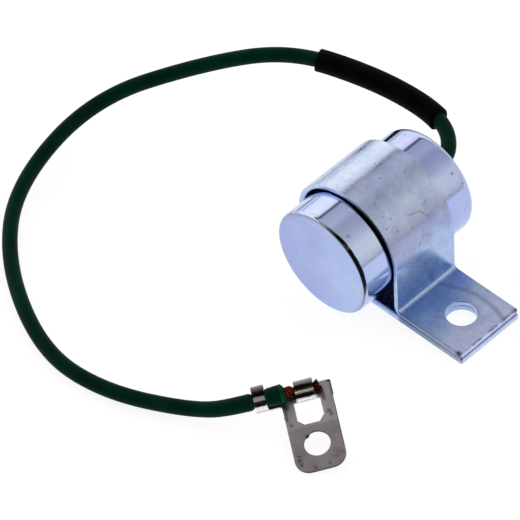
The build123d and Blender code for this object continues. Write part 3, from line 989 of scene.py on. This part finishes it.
def makeInsulation(c):
    r, end = lead["radius"] * mm, leadTotal
    # Lengths along the lead of the grip's two edges, measured back from the cut end
    gripStart = end - (c["endAt"] - c["clamped"][0]) * mm
    gripEnd = end - (c["endAt"] - c["clamped"][1]) * mm
    lengths = [c["step"] * mm * i for i in range(int((gripStart - 1.2 * mm) / (c["step"] * mm)))]
    fat, bulge, thin = c["swollen"] * mm, c["bulge"] * mm, c["pinched"]
    before, over = (v * mm for v in c["swelling"])
    # It swells before the grip, is pinched in it and stands out past it
    rows = [(s, r + (fat - r) * min(max((s - gripStart + before) / over, 0.0), 1.0)) for s in lengths]
    for at, share in ((-1.0, 1.0), (-0.5, 1.0), (-0.12, 0.88)):
        rows.append((gripStart + at * mm, fat * share))
    rows += [(gripStart + 0.15 * mm, r * (thin + 0.02)), ((gripStart + gripEnd) / 2, r * (thin - 0.02)),
             (gripEnd - 0.15 * mm, r * (thin + 0.02)), (gripEnd + 0.1 * mm, r * 1.08)]
    rows += [(gripEnd + at * mm, bulge * share) for at, share in ((0.5, 0.97), (1.2, 0.99))]
    for at, share in ((0.35, 1.0), (0.1, 1.0), (0.03, 0.98), (0.0, 0.93)):
        rows.append((end - at * mm, bulge * share))
    rows += [(end, c["endOpening"] * mm)]
    bore = (lead["coreRadius"] + 0.05) * mm
    inner = [(s, bore) for s, _ in reversed(rows[:-1])]
    tube = sweepRings(rows + inner, lead["around"])
    # The thin torn lip that the stripping tool leaves round the strands
    lip = []
    dice = random.Random(3)
    tears = [dice.uniform(*c["tears"]) for _ in range(lead["around"])]
    centre, tangent, side, other = alongLead(end)
    for share, radius in c["lipProfile"]:
        for k, tear in enumerate(tears):
            angle = 2 * math.pi * k / lead["around"]
            ahead = share * (tear if share > 0 else 0.3) * mm
            across = side * math.cos(angle) + other * math.sin(angle)
            lip.append(centre + tangent * ahead + across * radius * mm)
    shells = [tube, (lip, ringFaces(len(c["lipProfile"]), lead["around"], closed=True))]
    return meshPiece("leadInsulation", shells, greenPlastic, ["lead_insulation"])


insulation = makeInsulation(insulationLook)

print("stage: sleeve")
sleeve = {
    "start": 15.5,            # mm along the lead
    "end": 37.5,
    "bore": 1.28,
    "radius": 1.8,
    "rows": 40,
    "around": 48,
    "nearCut": (-0.25, (0.535, -0.511, -0.673)),   # how far the cut leans, and towards which side
    "farCut": (0.10, (0.20, 0.40, -0.89)),
    "clouds": (320.0, 3.0, 0.6),
    "grain": (2600.0, 3.0, 0.7),
    "dark": (0.0004, 0.0004, 0.0005),
    "worn": (0.0016, 0.0016, 0.0018),
    "rough": (0.50, 0.64),
    "specular": 0.03,
}


def sleeveMaterial(c):
    material, tree, shader = newMaterial("sleeveBlack")
    where = place(tree)
    fine = noise(tree, where, *c["grain"])
    worn = mapRange(tree, noise(tree, where, *c["clouds"]), 0.4, 0.7)
    wire(tree, shader, color=mixColor(tree, worn, c["dark"], c["worn"]), specular=c["specular"],
         rough=spread(tree, fine, *c["rough"]), normal=relief(tree, (fine, 0.3, 0.00003)))
    return material


def makeSleeve(c):
    start, end, bore, radius = c["start"], c["end"], c["bore"], c["radius"]
    nearLean, farLean = (amount * Vector(way).normalized() for amount, way in (c["nearCut"], c["farCut"]))

    # The lean of each cut dies away over a quarter of the sleeve
    def lay(s, r, centre, tangent, across):
        u = (s / mm - start) / (end - start)
        lean = nearLean.dot(across) * max(1 - 4 * u, 0.0) ** 2
        lean += farLean.dot(across) * max(4 * u - 3, 0.0) ** 2
        return centre + across * r + tangent * lean * r

    steps = [start + 0.06 + (end - start - 0.12) * i / c["rows"] for i in range(c["rows"] + 1)]
    rows = [(start, radius - 0.06)]
    rows += [(s, radius) for s in steps]
    rows += [(end, radius - 0.06), (end, bore + 0.04), (end - 0.05, bore)]
    rows += [(s, bore) for s in reversed(steps[1:-1:3])]
    rows += [(start + 0.05, bore), (start, bore + 0.04)]
    tube = sweepRings([(s * mm, r * mm) for s, r in rows], c["around"], shape=lay)
    return meshPiece("leadSleeve", [tube], sleeveMaterial(c), ["lead_sleeve"], sharp=50)


leadSleeve = makeSleeve(sleeve)

print("stage: terminal")


def terminalMaterial(c):
    material, tree, shader = newMaterial("terminalTin")
    where = flagPlace(tree)
    p, h, n = parts(tree, where)[:3]
    cloud = noise(tree, where, *c["clouds"])
    fine = noise(tree, where, *c["grain"])
    draws = noise(tree, stretched(tree, where, c["drawLines"]), 1.0, 3.0, 0.6)
    tone = mixColor(tree, mapRange(tree, cloud, 0.35, 0.65), c["deep"], c["pale"])
    tone = paint(tree, tone, mapRange(tree, draws, 0.5, 0.68, 0.0, 0.3), c["deep"])
    tone = paint(tree, tone, mapRange(tree, draws, 0.25, 0.42, 0.25, 0.0), c["shine"])
    tone = paint(tree, tone, scratchMarks(tree, where, c["brightLines"]), c["shine"], 0.4)
    tone = paint(tree, tone, spotMarks(tree, where, c["blushSpot"]), c["blush"], 0.4)
    # Stains and dark lines; the line beside the window's upper right corner is painted shade
    worn = anyOf(tree, spotMarks(tree, where, c["stains"], 0.35), scratchMarks(tree, where, c["lines"]))
    tone = paint(tree, tone, worn, c["stainAndShade"], 0.66)
    # The cut edges: bright bare metal under the crimps, kept to where the edges are lit, so partly a
    # painted highlight; painted shade low on the flag, near the table
    highEdge = times(tree, within(tree, n, 0.05, 0.45, 0.02), mapRange(tree, h, 6.6 * mm, 6.8 * mm))
    tone = paint(tree, tone, highEdge, c["cutEdge"])
    footShade = times(tree, mapRange(tree, n, 0.52 * mm, 0.44 * mm), mapRange(tree, h, 3.1 * mm, 2.8 * mm))
    tone = paint(tree, tone, footShade, c["stainAndShade"], 0.95)
    # Painted light and shade, with some tarnish, in bands up the fronts of the grip and the barrel
    rise = plus(tree, times(tree, h, c["front"][0]), times(tree, n, c["front"][1]))
    rise = plus(tree, rise, waver(tree, noise(tree, where, 1300.0, 3.0), 0.06 * mm))
    onGrip = within(tree, p, -7.9, -5.6, 0.02)
    tone = paint(tree, tone, onGrip, tintRamp(tree, rise, c["gripShadingAndTarnish"], mm, c["gripFoot"]))
    onBarrel = times(tree, within(tree, p, -1.6, 1.6, 0.02), mapRange(tree, h, 6.9 * mm, 7.0 * mm),
                     mapRange(tree, rise, 6.45 * mm, 6.5 * mm))
    tone = paint(tree, tone, onBarrel, tintRamp(tree, rise, c["barrelShadingAndTarnish"], mm, c["barrelFoot"]))
    tone = paint(tree, tone, spotMarks(tree, where, c["blackSpots"], 0.35), c["black"], 0.92)
    polished = times(tree, anyOf(tree, onGrip, onBarrel), c["crimpPolish"])
    rough = minus(tree, spread(tree, fine, *c["rough"]), polished)
    wire(tree, shader, color=tone, metal=1.0, rough=rough,
         normal=relief(tree, (draws, 0.3, 0.00004), (fine, 0.25, 0.00002)))
    return material


tinFinish = terminalMaterial(terminal)


# The flat of the terminal: its outline, window and hole, cut from sheet with the edges broken
def flagPlate(c):
    w, low, high, r = c["halfWidth"], c["low"], c["high"], c["cornerRadius"]
    outline = arcPoints((-w + r, low + r), r, 180, 270, 10) + arcPoints((w - r, low + r), r, 270, 360, 10)
    outline += [(w, 2.0), (w + 0.02, 5.0), (w, 6.9), (w + 0.12, 7.02), (w + 0.15, 7.3)]
    outline += [(w + 0.13, high - 0.25), (w - 0.05, high), (2.0, high + 0.02), (0.0, high), (-4.5, high)]
    outline += [(-7.6, high), (-7.65, 7.1), (-7.6, 7.05), (-4.3, 7.05), (-w - 0.06, 6.9), (-w, 6.5)]
    outline += [(-w, 5.3), (-w - 0.09, 5.16), (-w, 5.0)]
    hole = []
    nibAt, nibHalf, nibDepth = c["nib"]
    for i in range(c["holeAround"]):
        angle = 2 * math.pi * i / c["holeAround"]
        nib = max(0.0, 1 - abs(angle / degree - nibAt) / nibHalf)
        radius = c["holeRadius"] - nibDepth * min(nib * 1.6, 1.0)
        hole.append((radius * math.cos(angle), radius * math.sin(angle)))
    data = bpy.data.curves.new("flagPlate", "CURVE")
    data.dimensions = "2D"
    data.fill_mode = "BOTH"
    for loop in (outline, c["window"], hole):
        spline = data.splines.new("POLY")
        spline.points.add(len(loop) - 1)
        for slot, (p, h) in zip(spline.points, loop):
            slot.co = (p * mm, h * mm, 0.0, 1.0)
        spline.use_cyclic_u = True
    data.extrude = (c["thick"] / 2 - c["edge"]) * mm
    data.bevel_depth = c["edge"] * mm
    data.bevel_resolution = 1
    data.offset = -c["edge"] * mm
    points, faces = meshOfCurve(data)
    lift = Vector((0, 0, c["thick"] / 2 * mm))
    return [flagTurn @ (point + lift) for point in points], faces


# A section of (up the flag, off the metal) points run along the crimps, with drawn-in ends
def crimpRun(section, stops):
    middleH = sum(h for h, _ in section) / len(section)
    middleN = sum(n for _, n in section) / len(section)
    verts = []
    for p, shrink in stops:
        for h, n in section:
            away = Vector((h - middleH, n - middleN))
            pull = shrink / max(away.length, 0.001)
            verts.append(onFlag(p, h - away.x * pull, n - away.y * pull))
    return verts, cappedRings(len(stops), len(section))


# Two wings curled over side by side, pressed together in the middle
def crimpSection(c, lower, upper, meet):
    section = []
    for (shift, up, radius), isUpper in ((upper, True), (lower, False)):
        turned = math.asin(min((meet - up) / radius, 1.0)) / degree
        start, end = (-75.0, 180.0 - turned) if isUpper else (turned, 255.0)
        section += arcPoints((c["crimpHeight"] + shift, up), radius, start, end, c["curlSteps"])
    return section


def makeTerminal(c):
    shells = [flagPlate(c)]
    for crimp in ("grip", "barrel"):
        section = crimpSection(c, c[crimp + "Lower"], c[crimp + "Upper"], c[crimp + "Meet"])
        shells.append(crimpRun(section, c[crimp + "Stops"]))
    return meshPiece("flagTerminal", shells, tinFinish, ["terminal"], sharp=20)


flagTerminal = makeTerminal(terminal)

print("stage: copper strands")
strands = {
    "outer": 10,              # how many lie outside and inside
    "inner": 5,
    "radius": 0.19,
    "around": 8,
    "steps": 34,
    "twist": 0.55,            # radians for each mm
    "first": -3.6,            # mm along the crimps, where they leave the insulation
    "tip": 2.35,
    "middle": 0.14,           # mm above the middle of the crimps
    "outerReach": (0.50, 0.34, 0.42),   # mm from their middle, more where loose, more past the barrel
    "innerReach": (0.20, 0.14, 0.20),
    "looseAt": (-2.15, 0.75),   # where they are loose, and over what length
    "pastBarrel": (1.35, 1.1),
    "toBarrel": (-2.9, 1.5),
    "lift": 0.68,
    "clouds": (1100.0, 3.0, 0.6),
    "grain": (2600.0, 2.0),
    "red": (0.10, 0.012, 0.008),
    "orange": (0.46, 0.12, 0.045),
    "between": (0.02, 0.004, 0.004),
    "tipRed": (0.050, 0.005, 0.006),
    "rough": (0.26, 0.42),
    "coreSteps": 260,
    "coreAround": 14,
}


def copperMaterial(c):
    material, tree, shader = newMaterial("leadCopper")
    where = flagPlace(tree)
    cloud = noise(tree, where, *c["clouds"])
    tone = mixColor(tree, mapRange(tree, cloud, 0.50, 0.72), c["red"], c["orange"])
    fine = noise(tree, where, *c["grain"])
    tone = paint(tree, tone, mapRange(tree, fine, 0.55, 0.7, 0.0, 0.6), c["between"])
    tips = mapRange(tree, parts(tree, where)[0], 1.2 * mm, 1.5 * mm, 0.0, 0.85)
    tone = paint(tree, tone, tips, c["tipRed"])
    wire(tree, shader, color=tone, metal=1.0, rough=spread(tree, cloud, *c["rough"]),
         normal=relief(tree, (cloud, 0.3, 0.00003)))
    return material


copper = copperMaterial(strands)


def strandTubes(c):
    dice = random.Random(11)
    grip, barrel = terminal["gripCentre"], terminal["barrelCentre"]
    tubes = []
    for count, (near, swell, fan) in ((c["outer"], c["outerReach"]), (c["inner"], c["innerReach"])):
        for i in range(count):
            start = 2 * math.pi * i / count + dice.uniform(-0.15, 0.15)
            tip = c["tip"] + dice.uniform(-0.55, 0.35)
            flare = dice.uniform(0.75, 1.25)
            points = []
            for k in range(c["steps"] + 1):
                p = c["first"] + (tip - c["first"]) * k / c["steps"]
                toBarrel = min(max((p - c["toBarrel"][0]) / c["toBarrel"][1], 0.0), 1.0)
                loose = max(0.0, 1 - abs(p - c["looseAt"][0]) / c["looseAt"][1])
                past = max(0.0, (p - c["pastBarrel"][0]) / c["pastBarrel"][1])
                reach = near + swell * loose + past * flare * fan
                angle = start + c["twist"] * p + 0.12 * math.sin(3.0 * p + i)
                flat = 0.9 - 0.35 * toBarrel * (1 - min(past, 1.0))
                h = terminal["crimpHeight"] + c["middle"] + reach * math.cos(angle)
                n = grip + (barrel - grip) * toBarrel + c["lift"] * past + reach * flat * math.sin(angle)
                points.append(onFlag(p - 0.12 * past, h, n))
            radii = [c["radius"] * mm] * c["steps"] + [c["radius"] * 0.55 * mm]
            tubes.append(roundTube(points, radii, c["around"]))
    return tubes


def makeStrands(c):
    length = leadTotal - 0.4 * mm
    core = [alongLead(length * i / c["coreSteps"])[0] for i in range(c["coreSteps"] + 1)]
    points = [Vector(lead["coreStart"]) * mm] + core
    shells = [roundTube(points, [lead["coreRadius"] * mm] * len(points), c["coreAround"])]
    shells += strandTubes(c)
    return meshPiece("copperStrands", shells, copper, ["lead_conductor"])


copperStrands = makeStrands(strands)

print("stage: finishes of the inner pieces")
# Node, material, two colours, roughness, metal, clouds a metre
plainFinishes = [
    ("contact_spring", "springSteel", (0.42, 0.42, 0.44), (0.34, 0.34, 0.36), 0.3, 1.0, 400.0),
    ("capacitor_roll", "rollFoil", (0.62, 0.60, 0.55), (0.5, 0.46, 0.38), 0.4, 0.3, 300.0),
    ("insulating_wrap", "wrapPaper", (0.55, 0.45, 0.30), (0.48, 0.38, 0.24), 0.75, 0.0, 400.0),
    ("contact_disc", "brassDisc", (0.78, 0.60, 0.28), (0.68, 0.50, 0.22), 0.28, 1.0, 400.0),
    ("solder_joint", "softSolder", (0.55, 0.56, 0.58), (0.45, 0.46, 0.48), 0.3, 1.0, 600.0),
    ("insulating_washer", "washerBoard", (0.22, 0.12, 0.06), (0.17, 0.09, 0.045), 0.6, 0.0, 400.0),
    ("rubber_seal", "sealRubber", (0.012, 0.012, 0.013), (0.02, 0.02, 0.02), 0.6, 0.0, 500.0),
]


def plainFinish(name, color, other, rough, metal, scale):
    material, tree, shader = newMaterial(name)
    cloud = noise(tree, place(tree), scale, 4.0, 0.6)
    tone = mixColor(tree, spread(tree, cloud), color, other)
    wire(tree, shader, color=tone, rough=spread(tree, cloud, rough - 0.06, rough + 0.06), metal=metal,
         normal=relief(tree, (cloud, 0.15, 0.00003)))
    return material


finishes = {
    "condenser_can": canShell.data.materials[0],
    "mounting_strap": strapStrip.data.materials[0],
    "lead_conductor": copper,
    "lead_insulation": greenPlastic,
    "lead_sleeve": leadSleeve.data.materials[0],
    "terminal": tinFinish,
}
for nodeName, *look in plainFinishes:
    finishes[nodeName] = plainFinish(*look)
for nodeName, finish in finishes.items():
    data = nodes[nodeName].data
    if data.materials:
        for i in range(len(data.materials)):
            nodes[nodeName].material_slots[i].material = finish
    else:
        data.materials.append(finish)

print("stage: floor and light")
floor = {
    "radius": 3.0,            # m
    "at": (-0.03, -0.01, -0.00001),
    "color": (0.25, 0.25, 0.25, 1.0),
    "glow": 0.88,
}


def makeFloor(c):
    mesh = bmesh.new()
    bmesh.ops.create_circle(mesh, cap_ends=True, segments=96, radius=c["radius"])
    data = bpy.data.meshes.new("paleFloor")
    mesh.to_mesh(data)
    mesh.free()
    made = addObject("paleFloor", data)
    made.location = c["at"]
    material, tree, shader = newMaterial("paleFloor")
    wire(tree, shader, color=c["color"], rough=1.0, specular=0.0)
    shader.inputs["Emission Color"].default_value = (1.0, 1.0, 1.0, 1.0)
    shader.inputs["Emission Strength"].default_value = c["glow"]
    data.materials.append(material)


makeFloor(floor)

# How bright the studio is by the angle about the can's axis: 0 is level to the right, 90 overhead
studio = {
    "bands": [
        (-90, (1.0, 1.0, 1.0)), (-25, (0.85, 0.86, 0.86)), (-12, (0.52, 0.53, 0.52)),
        (-2, (0.50, 0.50, 0.48)), (8, (0.95, 0.88, 0.76)), (24, (1.15, 1.07, 0.88)),
        (44, (1.10, 1.03, 0.86)), (58, (0.84, 0.79, 0.72)), (72, (0.66, 0.64, 0.61)),
        (90, (0.58, 0.56, 0.55)), (104, (0.78, 0.75, 0.73)), (124, (0.70, 0.66, 0.65)),
        (128, (0.66, 0.60, 0.60)), (130, (0.14, 0.12, 0.15)), (133, (0.14, 0.12, 0.15)),
        (137.5, (1.45, 1.32, 1.18)), (150, (1.60, 1.48, 1.30)), (174, (1.45, 1.36, 1.22)),
        (178, (1.2, 1.15, 1.05)), (179.3, (0.15, 0.15, 0.17)),
    ],
    "strength": 1.0,
    "behind": (0.012, 0.013, 0.016),   # the unlit side of the room, behind the camera
    # Dark card low on the left, seen only in the far end of the can: corners in mm
    "card": [(-60.0, 23.0, 4.0), (-60.0, 400.0, 4.0), (-60.0, 400.0, 13.0), (-60.0, 23.0, 13.0)],
    "cardColor": (0.01, 0.01, 0.012, 1.0),
}


def makeStudio(s):
    scene = bpy.context.scene
    world = bpy.data.worlds.new("softStudio")
    scene.world = world
    world.use_nodes = True
    tree = world.node_tree
    background = tree.nodes["Background"]
    x, y, z = parts(tree, addNode(tree, "ShaderNodeTexCoord").outputs["Generated"])[:3]
    bands = tintRamp(tree, maths(tree, "ARCTAN2", z, x), s["bands"], degree)
    unlit = times(tree, mapRange(tree, y, -0.10, -0.34), mapRange(tree, x, -0.55, 0.05),
                  mapRange(tree, z, -0.10, 0.0))
    room = mixColor(tree, unlit, bands, s["behind"])
    # The camera itself sees plain white behind the part
    seen = addNode(tree, "ShaderNodeLightPath").outputs["Is Camera Ray"]
    feed(tree, background.inputs["Color"], mixColor(tree, seen, room, (1.0, 1.0, 1.0)))
    background.inputs["Strength"].default_value = s["strength"]
    scene.view_settings.view_transform = "Standard"
    scene.view_settings.look = "None"


def makeCard(s):
    data = bpy.data.meshes.new("darkCard")
    data.from_pydata([tuple(Vector(corner) * mm) for corner in s["card"]], [], [(0, 1, 2, 3)])
    card = addObject("darkCard", data)
    material, tree, shader = newMaterial("darkCard")
    wire(tree, shader, color=s["cardColor"], rough=1.0)
    data.materials.append(material)
    card.visible_camera = False
    card.visible_diffuse = False
    card.visible_shadow = False


makeStudio(studio)
makeCard(studio)
